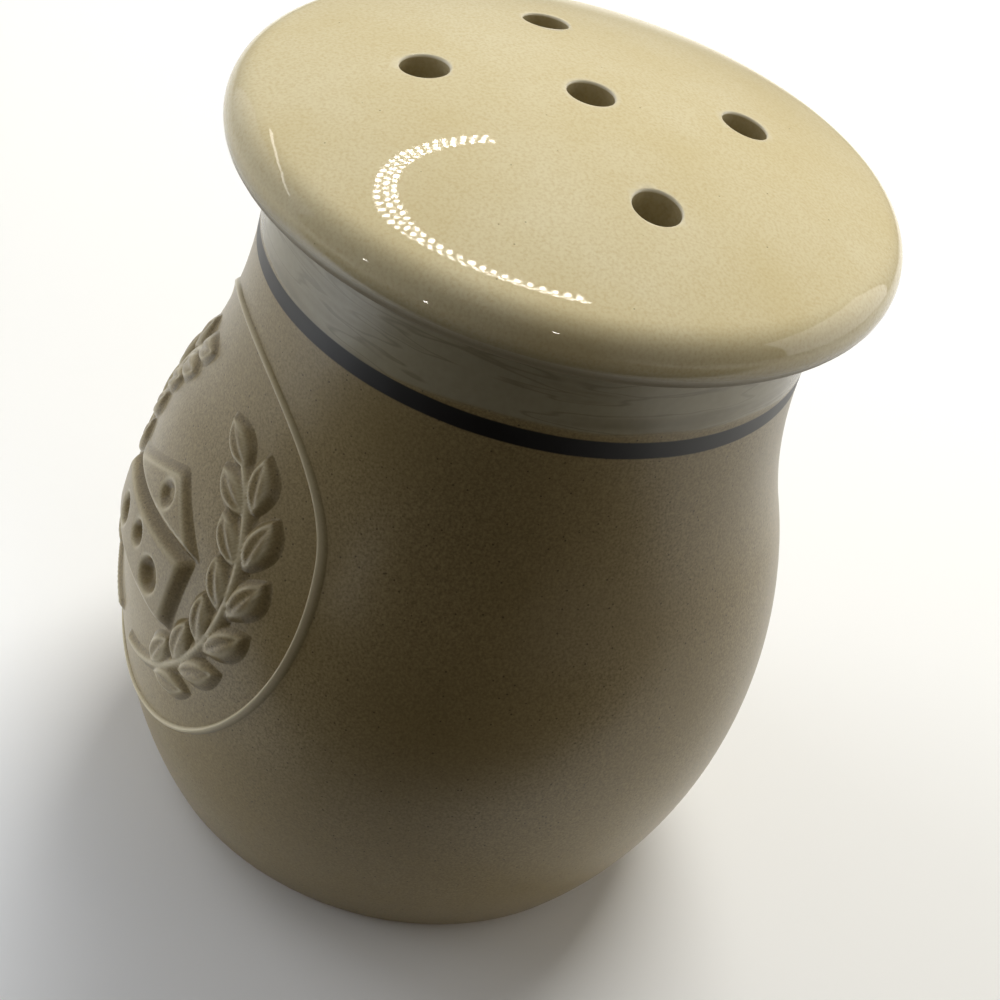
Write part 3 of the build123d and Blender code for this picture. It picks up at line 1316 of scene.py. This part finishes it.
@dataclass
class Medallion:
    """Round medallion on the jar's front: a border, a wedge of cheese and two ears of wheat."""

    jar: Jar
    radius: float
    middle: float
    ear_inset: float = 9.0
    wedge_length: float = 26.0
    wedge_base: float = 9.0
    tip_side: float = 7.5
    heel_side: float = 10.5
    cut: float = 1.2
    peak_shift: float = 4.0
    peak_rise: float = 6.3
    side_eyes: tuple[Eye, ...] = (Eye(-5.8, -5.3, 1.7), Eye(1.5, -3.2, 1.3), Eye(7.6, -5.0, 2.0))
    top_eyes: tuple[Eye, ...] = (Eye(3.4, 4.9, 1.4),)
    side_relief: float = 1.5
    top_relief: float = 1.0
    top_slope: float = 0.025
    sink: float = 0.06
    bury: float = 0.6

    def sprigs(self) -> dict[str, tuple[str, Sprig]]:
        """Design the raised forms.

        Returns:
            The forms by the name of the piece, each with the node that it stands for.
        """
        tip, heel = -self.wedge_length / 2, self.wedge_length / 2
        base = -self.wedge_base
        tip_top, heel_top = base + self.tip_side, base + self.heel_side
        peak = (self.peak_shift, heel_top + self.cut + self.peak_rise)
        side = [(tip, base), (heel, base), (heel, heel_top), (tip, tip_top)]
        top = [(tip, tip_top + self.cut), (heel, heel_top + self.cut), peak]
        wedge_side = WedgeFace(side, self.side_eyes, self.side_relief)
        wedge_top = WedgeFace(top, self.top_eyes, self.top_relief, slope=self.top_slope)
        ring = self.radius - self.ear_inset
        return {
            "raised_border": ("medallion_border", Border(self.radius)),
            "cheese_wedge_side": ("wedge_side", wedge_side),
            "cheese_wedge_top": ("wedge_top", wedge_top),
            "wheat_ear_right": ("right_wheat_ear", WheatEar(ring, mirrored=False)),
            "wheat_ear_left": ("left_wheat_ear", WheatEar(ring, mirrored=True)),
        }

    def on_wall(self, across: float, up: float, proud: float) -> Vector:
        """Point on or near the jar's wall.

        Args:
            across: Distance to the right of the medallion's middle.
            up: Distance above the medallion's middle.
            proud: Distance outside the wall.

        Returns:
            The point.
        """
        height = self.middle + up
        radius = self.jar.radius_at(height) + proud
        return Vector((across, -math.sqrt(radius**2 - across**2), height))

    def build(self, sprig: Sprig) -> BMesh:
        """Press a sprig on the wall: its sheet is raised by the form, and closed behind the wall.

        Args:
            sprig: The raised form.

        Returns:
            The closed mesh, with the share of thin glaze and painted highlight, and of pooled glaze and
            painted shade, at each of its points.
        """
        mesh = sprig.sheet()
        thin_and_highlight = mesh.verts.layers.float.new(THIN_GLAZE_AND_HIGHLIGHT)
        pooled_and_shade = mesh.verts.layers.float.new(POOLED_GLAZE_AND_SHADE)
        outside: set[BMVert] = set()
        for vert in mesh.verts:
            across, up = vert.co.x, vert.co.z
            inside, share = sprig.shape(across, up)
            rise = smooth_step(-sprig.skirt, sprig.edge, inside)
            dive = smooth_step(0.0, sprig.skirt, -inside)
            crest = sprig.thin_and_highlight_place * sprig.edge
            trough = -sprig.pooled_and_shade_place * sprig.skirt
            # Painted highlight with the thin glaze along the crest, painted shade with the pooled glaze on
            # the skirt.
            vert[thin_and_highlight] = sprig.thin_and_highlight_share * hump(crest, sprig.thin_and_highlight_width, inside)
            vert[pooled_and_shade] = sprig.pooled_and_shade_share * hump(trough, sprig.pooled_and_shade_width * sprig.skirt, inside)
            if inside < -sprig.skirt:
                outside.add(vert)
            vert.co = self.on_wall(across, up, sprig.relief * share * rise - self.sink * dive)
        spare = [face for face in mesh.faces if all(vert in outside for vert in face.verts)]
        bmesh.ops.delete(mesh, geom=spare, context="FACES")
        grown = bmesh.ops.extrude_face_region(mesh, geom=mesh.faces[:])["geom"]
        for vert in (part for part in grown if isinstance(part, BMVert)):
            radius = math.hypot(vert.co.x, vert.co.y)
            backed = self.jar.radius_at(vert.co.z) - self.bury
            vert.co.x *= backed / radius
            vert.co.y *= backed / radius
        bmesh.ops.recalc_face_normals(mesh, faces=mesh.faces[:])
        return mesh

    def make(self, finish: Material) -> list[bpy.types.Object]:
        """Build the sprigs and put them in place.

        Args:
            finish: Glaze of the raised forms.

        Returns:
            The sprigs' objects.
        """
        return [
            make_piece(name, self.build(sprig), [finish], Body.JAR, node)
            for name, (node, sprig) in self.sprigs().items()
        ]


class LidFace(Enum):
    """Material numbers of the lid's faces."""

    GLAZED = 0
    SEAT = 1


@dataclass
class PiercedLid:
    """Domed lid with a full round rim, a skirt with a groove for the sealing ring, and pouring holes.

    Each hole's place is its distance from the axis and its angle in degrees.
    """

    jar: Jar
    rim_radius: float
    rim_under: float = 3.5
    rim_over: float = 4.5
    dome_rise: float = 10.0
    thickness: float = 6.0
    skirt_depth: float = 10.5
    skirt_wall: float = 3.5
    skirt_clearance: float = 1.0
    skirt_round: float = 0.8
    ceiling_round: float = 2.5
    groove_height: float = 5.0
    groove_drop: float = 2.8
    groove_depth: float = 1.5
    hole_diameter: float = 5.9
    hole_round: float = 0.4
    hole_places: tuple[tuple[float, float], ...] = (
        (0.0, 0.0), (22.0, 1.0), (20.3, 82.5), (21.7, 174.0), (19.8, 250.5),
    )
    flare_lean: float = 15.0
    flare_rise: float = 0.5
    # Brown under the rim, partly thin dry glaze and partly painted shade; darker tan in the holes, painted
    # shade.
    brown_share: float = 0.9
    brown_above_rim: float = 1.0
    brown_above_seat: float = 1.5
    bore_share: float = 0.45
    pitch: float = 1.3
    segments: int = 192
    hole_segments: int = 64

    def __post_init__(self) -> None:
        """Work out the dome and the places of the holes."""
        self.seat = self.jar.seat_height
        self.rim_height = self.seat + self.rim_under
        self.top = self.rim_height + self.dome_rise
        self.rim_middle = Spot(self.rim_radius - self.rim_over, self.rim_height)
        lift = self.dome_rise - self.rim_over
        self.crown = (self.rim_middle.radius**2 + self.dome_rise**2 - self.rim_over**2) / (2 * lift)
        self.crown_middle = Spot(0.0, self.top - self.crown)
        self.skirt_radius = self.jar.neck_radius - self.jar.wall - self.skirt_clearance
        self.skirt_inside = self.skirt_radius - self.skirt_wall
        self.bore = self.hole_diameter / 2
        self.holes = [
            Vector((reach * math.cos(math.radians(angle)), reach * math.sin(math.radians(angle)), 0.0))
            for reach, angle in self.hole_places
        ]

    def dome_height(self, radius: float) -> float:
        """Height of the dome's outside at a distance from the axis."""
        return self.crown_middle.height + math.sqrt(self.crown**2 - radius**2)

    def blank(self) -> BMesh:
        """Turn the lid's section, before the holes are punched.

        Returns:
            The closed mesh.
        """
        reach = math.hypot(self.rim_middle.radius, self.rim_middle.height - self.crown_middle.height)
        share = self.crown / reach
        shoulder = Spot(
            self.rim_middle.radius * share,
            self.crown_middle.height + (self.rim_middle.height - self.crown_middle.height) * share,
        )
        under_middle = Spot(self.rim_radius - self.rim_under, self.rim_height)
        foot = self.seat - self.skirt_depth
        groove = self.skirt_radius - self.groove_depth
        groove_top = self.seat - self.groove_drop
        groove_foot = groove_top - self.groove_height
        edge = self.skirt_round
        ceiling = self.crown - self.thickness
        corner_reach = ceiling - self.ceiling_round
        corner_radius = self.skirt_inside - self.ceiling_round
        corner = Spot(
            corner_radius, self.crown_middle.height + math.sqrt(corner_reach**2 - corner_radius**2)
        )
        touch_share = ceiling / corner_reach
        corner_touch = Spot(
            corner.radius * touch_share,
            self.crown_middle.height + (corner.height - self.crown_middle.height) * touch_share,
        )
        section = Section(Spot(0.0, self.top), self.pitch)
        section.arc(self.crown_middle, shoulder)
        section.arc(self.rim_middle, Spot(self.rim_radius, self.rim_height))
        section.arc(under_middle, Spot(under_middle.radius, self.seat)).line(self.skirt_radius, self.seat)
        section.line(self.skirt_radius, groove_top).line(groove, groove_top).line(groove, groove_foot)
        section.line(self.skirt_radius, groove_foot).line(self.skirt_radius, foot + edge)
        section.arc(Spot(self.skirt_radius - edge, foot + edge), Spot(self.skirt_radius - edge, foot))
        section.line(self.skirt_inside + edge, foot)
        section.arc(Spot(self.skirt_inside + edge, foot + edge), Spot(self.skirt_inside, foot + edge))
        section.line(self.skirt_inside, corner.height).arc(corner, corner_touch)
        section.arc(self.crown_middle, Spot(0.0, self.top - self.thickness))
        return section.turned(self.segments)

    def punch(self, hole: Vector) -> BMesh:
        """Tool that leaves one hole: straight below, flared where it meets the dome.

        Args:
            hole: Place of the hole.

        Returns:
            The tool's closed mesh, sheared so that its flare follows the dome's slope.
        """
        lean = math.radians(self.flare_lean)
        flare_middle = Spot(self.bore + self.hole_round, -self.hole_round)
        flare_end = Spot(
            flare_middle.radius - self.hole_round * math.sin(lean),
            flare_middle.height + self.hole_round * math.cos(lean),
        )
        reach = 2 * self.thickness
        wide = flare_end.radius + self.flare_rise / math.tan(lean)
        section = Section(Spot(0.0, -reach), self.pitch)
        section.line(self.bore, -reach).line(self.bore, -self.hole_round)
        section.arc(flare_middle, flare_end).line(wide, flare_end.height + self.flare_rise)
        section.line(wide, reach).line(0.0, reach)
        tool = section.turned(self.hole_segments)
        distance = hole.length
        slope = distance / (self.dome_height(distance) - self.crown_middle.height)
        towards = hole.normalized() if distance else Vector((1.0, 0.0, 0.0))
        for vert in tool.verts:
            vert.co.z -= slope * vert.co.xy.dot(towards.xy)
        place = hole + Vector((0.0, 0.0, self.dome_height(distance)))
        bmesh.ops.translate(tool, vec=place, verts=tool.verts[:])
        return tool

    def build(self) -> BMesh:
        """Punch the holes through the blank.

        Returns:
            The pierced mesh.
        """
        tools = bpy.data.meshes.new("lid_punches")
        joined = bmesh.new()
        for hole in self.holes:
            tool = self.punch(hole)
            tool.to_mesh(tools)
            tool.free()
            joined.from_mesh(tools)
        joined.to_mesh(tools)
        joined.free()
        solid = bpy.data.meshes.new("lid_blank")
        blank = self.blank()
        blank.to_mesh(solid)
        blank.free()
        lid, punches = [bpy.data.objects.new(mesh.name, mesh) for mesh in (solid, tools)]
        for part in (lid, punches):
            bpy.context.scene.collection.objects.link(part)
        cut = lid.modifiers.new("punch", "BOOLEAN")
        cut.operation = "DIFFERENCE"
        cut.solver = "EXACT"
        cut.object = punches
        pierced = bmesh.new()
        pierced.from_object(lid, bpy.context.evaluated_depsgraph_get())
        for mesh in (solid, tools):
            bpy.data.meshes.remove(mesh)
        return pierced

    def dress(self, mesh: BMesh) -> None:
        """Number the faces, and mark where the glaze is pale, tan or brown.

        It is pale round the holes, partly a painted highlight, tan in them as painted shade, and brown
        under the rim, partly thin dry glaze and partly painted shade.

        Args:
            mesh: The lid's mesh.
        """
        for face in mesh.faces:
            on_seat = abs(face.calc_center_median().z - self.seat) < WELD and face.normal.z < 0
            face.material_index = (LidFace.SEAT if on_seat else LidFace.GLAZED).value
        thin_and_highlight = mesh.verts.layers.float.new(THIN_GLAZE_AND_HIGHLIGHT)
        pooled_and_shade = mesh.verts.layers.float.new(POOLED_GLAZE_AND_SHADE)
        for vert in mesh.verts:
            # Outside the skirt: browner towards the rim's underside, partly thin dry glaze and partly
            # painted shade under the overhang.
            if vert.co.xy.length > self.skirt_radius + WELD:
                pale_from = self.rim_height + self.brown_above_rim
                brown_from = self.seat + self.brown_above_seat
                vert[pooled_and_shade] = self.brown_share * smooth_step(pale_from, brown_from, vert.co.z)
                continue
            gap = min((vert.co.xy - hole.xy).length for hole in self.holes) - self.bore
            depth = self.dome_height(min(vert.co.xy.length, self.rim_middle.radius)) - vert.co.z
            if gap > self.hole_round or depth > 2 * self.thickness:
                continue
            # Darker tan down the holes as painted shade, and pale at their rims, partly thin glaze and
            # partly a painted highlight.
            bore = smooth_step(self.hole_round / 2, self.hole_round, depth)
            vert[pooled_and_shade] = self.bore_share * bore
            vert[thin_and_highlight] = (1 - bore) * smooth_step(self.hole_round, 0.0, gap)

    def make(self, glaze: Material, clay: Material) -> bpy.types.Object:
        """Build the lid, dress it and put it in place.

        Args:
            glaze: Glaze of the lid.
            clay: Bare clay of the ring that sits on the jar.

        Returns:
            The lid's object.
        """
        mesh = self.build()
        self.dress(mesh)
        return make_piece("glazed_lid", mesh, [glaze, clay], Body.LID, "lid")


@dataclass
class SealingRing:
    """Ring round the lid's skirt, with round ribs that press on the jar's mouth."""

    inner: float
    outer: float
    low: float
    high: float
    ribs: int = 3
    bulge: float = 0.7
    pitch: float = 0.5
    segments: int = 160

    def build(self) -> BMesh:
        """Turn the ring's section.

        Returns:
            The closed mesh.
        """
        root = self.outer - self.bulge
        step = (self.high - self.low) / self.ribs
        bend = (step**2 / 4 + self.bulge**2) / (2 * self.bulge)
        section = Section(Spot(self.inner, self.low), self.pitch)
        section.line(root, self.low)
        for rib in range(self.ribs):
            foot = self.low + step * rib
            section.arc(Spot(self.outer - bend, foot + step / 2), Spot(root, foot + step))
        section.line(self.inner, self.high).line(self.inner, self.low)
        return section.turned(self.segments)

    def make(self, finish: Material) -> bpy.types.Object:
        """Build the ring and put it in place.

        Args:
            finish: The ring's silicone.

        Returns:
            The ring's object.
        """
        return make_piece("sealing_ring", self.build(), [finish], Body.GASKET, "lid_gasket")


def around(azimuth: float, elevation: float, distance: float) -> Vector:
    """Place round the shaker's axis, in metres.

    Args:
        azimuth: Degrees from -Y towards +X.
        elevation: Degrees above the floor.
        distance: Distance from the origin.

    Returns:
        The place.
    """
    turn, tilt = math.radians(azimuth), math.radians(elevation)
    level = math.cos(tilt)
    return distance * Vector((math.sin(turn) * level, -math.cos(turn) * level, math.sin(tilt)))


@dataclass(frozen=True)
class SoftBox:
    """A soft light, placed by its angle from the camera."""

    name: str
    azimuth: float
    elevation: float
    distance: float
    width: float
    height: float
    watts: float
    colour: str
    mirrored: bool = True
    on_floor: bool = False


@dataclass
class Studio:
    """Pale floor, soft lights, a dark card that shades the front, and the camera.

    The places of the sparks and of the strip light are an azimuth from the camera and an elevation, in
    degrees.
    """

    camera_azimuth: float = 62.0
    camera_reach: float = 212.2
    camera_height: float = 209.0
    yaw: float = 1.09
    pitch: float = 37.12
    roll: float = 17.36
    focal: float = 69.84
    sensor: float = 36.0
    nearest: float = 0.01
    aim_height: float = 60.0
    floor_size: float = 6.0
    ambient: str = "#fff8ee"
    ambient_strength: float = 0.2
    lamp_reach: float = 490.0
    lamp_height: float = 708.0
    lamp_radius: float = 230.0
    lamp_columns: int = 40
    lamp_rows: int = 3
    lamp_row_pitch: float = 11.0
    lamp_start: float = 122.0
    lamp_end: float = 290.0
    lamp_size: float = 7.0
    lamp_strength: float = 34.0
    lamp_colour: str = "#fffaf2"
    spark_places: tuple[tuple[float, float], ...] = ((-49.8, 25.1), (-28.0, 6.4), (10.6, 38.9))
    spark_reach: float = 0.49
    spark_size: float = 14.0
    strip_places: tuple[tuple[float, float], ...] = (
        (-137.5, 44.5), (-120.4, 45.3), (-101.0, 40.6), (-83.9, 27.4),
    )
    strip_reach: float = 0.49
    strip_width: float = 15.0
    strip_strength: float = 5.0
    card_colour: str = "#241f1a"
    card_width: float = 900.0
    card_near: float = 62.0
    card_fade: float = 45.0
    card_far: float = 600.0
    card_height: float = 600.0

    def boxes(self) -> list[SoftBox]:
        """List the soft lights: the main one above and behind, some at the left and one at the right.

        Returns:
            The lights.
        """
        return [
            SoftBox("overhead", azimuth=168.0, elevation=56.0, distance=0.85, width=0.5, height=0.5,
                    watts=6.2, colour="#fffefa", mirrored=False),
            SoftBox("left_side", azimuth=-106.0, elevation=10.0, distance=1.2, width=1.3, height=1.1,
                    watts=2.6, colour="#f4f8ff"),
            SoftBox("left_low", azimuth=-86.0, elevation=3.0, distance=1.0, width=0.4, height=0.5,
                    watts=2.2, colour="#eaf1ff", mirrored=False),
            SoftBox("left_top", azimuth=-98.0, elevation=55.0, distance=0.9, width=0.3, height=0.3,
                    watts=0.8, colour="#f3f7ff", mirrored=False),
            SoftBox("left_floor", azimuth=-63.0, elevation=18.6, distance=0.141, width=0.09, height=0.09,
                    watts=0.04, colour="#e4eeff", mirrored=False, on_floor=True),
            SoftBox("right_side", azimuth=109.0, elevation=10.0, distance=1.1, width=1.0, height=1.1,
                    watts=4.2, colour="#fffdfa"),
        ]

    def make(self) -> None:
        """Put up the floor, the lights and the camera."""
        self._floor()
        self._ambient()
        for box in self.boxes():
            self._light(box)
        self._lamp_arc()
        self._strip_light()
        self._dark_card()
        self._camera()
        bpy.context.scene.view_settings.view_transform = "Standard"

    def _set_up(self, name: str, mesh: BMesh, finish: Material) -> bpy.types.Object:
        """Make a thing of the studio, which isn't part of the shaker.

        Args:
            name: Name of the thing.
            mesh: Its mesh in metres, which is used up.
            finish: Its material.

        Returns:
            The new object.
        """
        data = bpy.data.meshes.new(name)
        mesh.to_mesh(data)
        mesh.free()
        data.materials.append(finish)
        thing = bpy.data.objects.new(name, data)
        bpy.context.scene.collection.objects.link(thing)
        return thing

    def _floor(self) -> None:
        """Lay the floor."""
        mesh = bmesh.new()
        bmesh.ops.create_grid(mesh, x_segments=2, y_segments=2, size=self.floor_size / 2)
        self._set_up("studio_floor", mesh, PaleFloor().material())

    def _ambient(self) -> None:
        """Fill the room with a weak even light."""
        world = bpy.data.worlds.new("studio_room")
        world.use_nodes = True
        world.node_tree.nodes.clear()
        room = add_node(
            world.node_tree, "ShaderNodeBackground", {},
            {"Color": linear(self.ambient), "Strength": self.ambient_strength},
        )
        add_node(world.node_tree, "ShaderNodeOutputWorld", {}, {0: room.outputs[0]})
        bpy.context.scene.world = world

    def _light(self, box: SoftBox) -> None:
        """Hang a soft light that faces the shaker, or the floor beside it.

        Args:
            box: The light.
        """
        data = bpy.data.lights.new(box.name, "AREA")
        data.shape = "RECTANGLE"
        data.size, data.size_y = box.width, box.height
        data.energy = box.watts
        data.color = linear(box.colour)[:3]
        light = bpy.data.objects.new(box.name, data)
        light.visible_glossy = box.mirrored
        place = around(self.camera_azimuth + box.azimuth, box.elevation, box.distance)
        down = Vector((0.0, 0.0, -1.0))
        middle = Vector((0.0, 0.0, self.aim_height * MM))
        aim = down if box.on_floor else middle - place
        light.matrix_world = Matrix.Translation(place) @ aim.to_track_quat("-Z", "Y").to_matrix().to_4x4()
        bpy.context.scene.collection.objects.link(light)

    def _lamp_arc(self) -> None:
        """Hang rows of small lamps on an arc behind, which the lid mirrors, and a few for its rim."""
        mesh = bmesh.new()
        facing = Matrix.Rotation(math.radians(self.camera_azimuth), 4, "Z")
        for lamp in range(self.lamp_columns * self.lamp_rows):
            column, row = divmod(lamp, self.lamp_rows)
            share = (column + row % 2 / 2) / self.lamp_columns
            angle = math.radians(self.lamp_start + (self.lamp_end - self.lamp_start) * share)
            radius = self.lamp_radius + self.lamp_row_pitch * (row - (self.lamp_rows - 1) / 2)
            aside, behind = radius * math.cos(angle), self.lamp_reach + radius * math.sin(angle)
            place = Vector((aside, behind, self.lamp_height))
            bmesh.ops.create_grid(
                mesh, x_segments=1, y_segments=1, size=self.lamp_size * MM / 2,
                matrix=facing @ Matrix.Translation(place * MM),
            )
        for azimuth, elevation in self.spark_places:
            place = around(self.camera_azimuth + azimuth, elevation, self.spark_reach)
            bmesh.ops.create_grid(
                mesh, x_segments=1, y_segments=1, size=self.spark_size * MM / 2,
                matrix=Matrix.Translation(place) @ place.to_track_quat("Z", "Y").to_matrix().to_4x4(),
            )
        lamps = self._set_up("lamp_arc", mesh, Glow(self.lamp_colour, self.lamp_strength).material())
        lamps.visible_camera = False
        lamps.visible_diffuse = False

    def _strip_light(self) -> None:
        """Hang a thin bent strip light at the left, which the lid's rim mirrors as a streak."""
        mesh = bmesh.new()
        start, *others = [
            around(self.camera_azimuth + azimuth, elevation, self.strip_reach)
            for azimuth, elevation in self.strip_places
        ]
        tip = mesh.verts.new(start)
        for place in others:
            tip = bmesh.ops.extrude_vert_indiv(mesh, verts=[tip])["verts"][0]
            tip.co = place
        widened = bmesh.ops.extrude_edge_only(mesh, edges=mesh.edges[:])["geom"]
        side = [part for part in widened if isinstance(part, BMVert)]
        bmesh.ops.translate(mesh, vec=(0.0, 0.0, self.strip_width * MM), verts=side)
        strip = self._set_up("strip_light", mesh, Glow(self.lamp_colour, self.strip_strength).material())
        strip.visible_camera = False
        strip.visible_diffuse = False

    def _dark_card(self) -> None:
        """Set a bent dark card below and behind the camera, which keeps light off the jar's front."""
        mesh = bmesh.new()
        half, depth = self.card_width * MM / 2, (self.card_far - self.card_near) * MM
        bmesh.ops.create_grid(mesh, x_segments=1, y_segments=1, size=half)
        bmesh.ops.scale(mesh, vec=(1.0, depth / (2 * half), 1.0), verts=mesh.verts[:])
        far = [edge for edge in mesh.edges if all(vert.co.y < 0 for vert in edge.verts)]
        risen = bmesh.ops.extrude_edge_only(mesh, edges=far)["geom"]
        standing = [part for part in risen if isinstance(part, BMVert)]
        bmesh.ops.translate(mesh, vec=(0.0, 0.0, self.card_height * MM), verts=standing)
        middle = Vector((0.0, -(self.card_near + self.card_far) / 2 * MM, MM))
        bmesh.ops.translate(mesh, vec=middle, verts=mesh.verts[:])
        facing = Matrix.Rotation(math.radians(self.camera_azimuth), 4, "Z")
        bmesh.ops.transform(mesh, matrix=facing, verts=mesh.verts[:])
        finish = FadingCard(
            self.card_colour, around(self.camera_azimuth, 0.0, 1.0), self.card_near,
            self.card_width / 2, self.card_fade,
        )
        card = self._set_up("dark_card", mesh, finish.material())
        card.visible_camera = False
        card.visible_shadow = False

    def _camera(self) -> None:
        """Set up the camera, tilted down and rolled."""
        data = bpy.data.cameras.new("camera")
        data.lens = self.focal
        data.sensor_width = self.sensor
        data.clip_start = self.nearest
        camera = bpy.data.objects.new("camera", data)
        camera.matrix_world = (
            Matrix.Rotation(math.radians(self.camera_azimuth), 4, "Z")
            @ Matrix.Translation((0.0, -self.camera_reach * MM, self.camera_height * MM))
            @ Matrix.Rotation(math.radians(-self.yaw), 4, "Z")
            @ Matrix.Rotation(math.radians(90 - self.pitch), 4, "X")
            @ Matrix.Rotation(math.radians(self.roll), 4, "Z")
        )
        bpy.context.scene.collection.objects.link(camera)
        bpy.context.scene.camera = camera


def main() -> None:
    """Build the shaker and the studio, and report each piece."""
    logging.basicConfig(level=logging.INFO, format="%(name)s %(message)s")
    clay = BareClay().material()
    cream = CreamGlaze("cream_glaze").material()
    tan = StonewareGlaze("tan_stoneware_glaze").material()
    jar_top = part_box("jar")[1] / MM
    jar = Jar(belly_radius=jar_top.x, seat_height=jar_top.z)
    pieces = [jar.make(tan, CreamGlaze("inside_glaze").material(), clay)]
    border_low, border_high = [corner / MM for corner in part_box("medallion_border")]
    medallion = Medallion(jar, border_high.x, (border_low.z + border_high.z) / 2)
    pieces += medallion.make(StonewareGlaze("raised_stoneware_glaze").material())
    lid = PiercedLid(jar, rim_radius=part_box("lid")[1].x / MM)
    pieces.append(lid.make(cream, clay))
    ring_low, ring_high = [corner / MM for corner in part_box("lid_gasket")]
    ring = SealingRing(lid.skirt_radius - lid.groove_depth, ring_high.x, ring_low.z, ring_high.z)
    pieces.append(ring.make(Silicone().material()))
    for piece in pieces:
        LOG.info("%s: %d faces", piece.name, len(piece.data.polygons))
    Studio().make()


if __name__ == "__main__":
    main()
